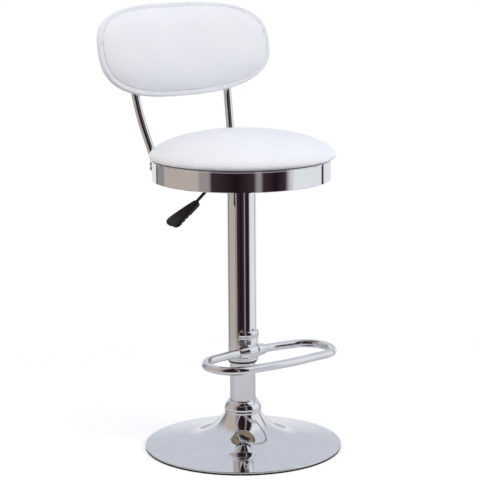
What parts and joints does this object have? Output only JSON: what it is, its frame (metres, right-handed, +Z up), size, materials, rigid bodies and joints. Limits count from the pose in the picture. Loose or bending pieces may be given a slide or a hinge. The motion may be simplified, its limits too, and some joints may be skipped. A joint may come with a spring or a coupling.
{
  "type": "adjustable swivel stool",
  "caption": "Swivel bar stool on a gas lift: trumpet base, telescopic column, footrest loop, round padded seat in a bright band, oval padded back on tube posts.",
  "frame": {"origin": "centre of the base on the floor, on the column's axis", "axes": "+Z up along the column, -Y towards the front of the seat and the footrest, +X towards the sitter's left"},
  "size_m": [0.4021, 0.4281, 0.8587],
  "materials": {
    "chrome_plate": "mirror-polished chrome on pressed steel",
    "chrome_trim": "mirror-polished chrome on a drawn part",
    "chrome_tube": "mirror-polished chrome tube with faint draw lines",
    "chrome_band": "mirror-polished chrome band",
    "rubber_black": "matt black rubber",
    "steel_dark": "black powder coat on pressed steel",
    "steel_bright": "ground bright steel",
    "zinc": "zinc-plated fasteners",
    "cast_grey": "raw grey casting",
    "plastic_black": "moulded black nylon",
    "lever_black": "black-painted rod",
    "grip_plastic": "moulded black plastic, fine texture",
    "plywood": "raw birch plywood",
    "foam": "open-cell polyurethane foam",
    "vinyl_white": "white upholstery vinyl, fine grain, soft sheen",
    "vinyl_rear": "white upholstery vinyl on the pad's rear"
  },
  "bodies": {
    "base": {"base_bell": "chrome_plate", "base_dish": "chrome_plate", "base_foot_ring": "rubber_black", "base_plate": "steel_dark", "base_weight": "cast_grey", "flange_bolts": "zinc", "stand_flange": "steel_dark", "stand_tube": "chrome_tube", "base_collar": "chrome_trim", "thrust_seat": "steel_dark", "guide_bush": "plastic_black", "bearing_lower_race": "steel_bright"},
    "bearing": {"bearing_cage": "plastic_black", "bearing_balls": "steel_bright"},
    "rod": {"bearing_upper_race": "steel_bright", "rod_collar": "steel_bright", "rod_clip": "steel_bright", "piston_rod": "steel_bright", "rod_bumper": "rubber_black", "piston": "steel_bright", "piston_seal": "rubber_black"},
    "lever": {"lever_rod": "lever_black", "lever_grip": "grip_plastic"},
    "release": {"release_pin": "steel_bright"},
    "seat": {"outer_tube": "chrome_tube", "footrest_loop": "chrome_tube", "footrest_bracket": "chrome_trim", "seat_ring": "chrome_band", "back_post_left": "chrome_tube", "back_post_right": "chrome_tube", "tube_guide_ring": "plastic_black", "pressure_tube": "steel_dark", "rod_gland": "plastic_black", "valve_body": "steel_bright", "seat_plate": "steel_dark", "seat_hub": "steel_dark", "plate_bolts": "zinc", "plate_nuts": "zinc", "lever_pivot_pin": "zinc", "ring_clips": "zinc", "clip_screws": "zinc", "seat_board": "plywood", "seat_foam": "foam", "seat_cover": "vinyl_white", "post_caps": "plastic_black", "post_bolts": "zinc", "post_nut_plates": "zinc", "back_board": "plywood", "back_foam": "foam", "back_front_cover": "vinyl_white", "back_border": "vinyl_white", "back_rear_cover": "vinyl_rear", "back_screws": "zinc"}
  },
  "joints": [
    {"name": "seat_swivel", "type": "hinge", "parent": "base", "child": "rod", "pos_m": [0, 0, 0.03], "axis": [0, 0, 1], "continuous": true},
    {"name": "seat_lift", "type": "slide", "parent": "rod", "child": "seat", "axis": [0, 0, 1], "range_m": [0, 0.21]},
    {"name": "lever_tilt", "type": "hinge", "parent": "seat", "child": "lever", "pos_m": [-0.036, 0, 0.548], "axis": [0, 1, 0], "range_deg": [0, 8], "stiffness_Nm_per_rad": 1.5, "springref_deg": -8.59},
    {"name": "valve_press", "type": "slide", "parent": "seat", "child": "release", "axis": [0, 0, -1], "range_m": [0, 0.0057]},
    {"name": "bearing_roll", "type": "hinge", "parent": "base", "child": "bearing", "pos_m": [0, 0, 0.028], "axis": [0, 0, 1], "continuous": true}
  ],
  "couplings": [
    {"joint": "valve_press", "follows": "lever_tilt", "m_per_rad": 0.04},
    {"joint": "bearing_roll", "follows": "seat_swivel", "ratio": 0.5}
  ]
}
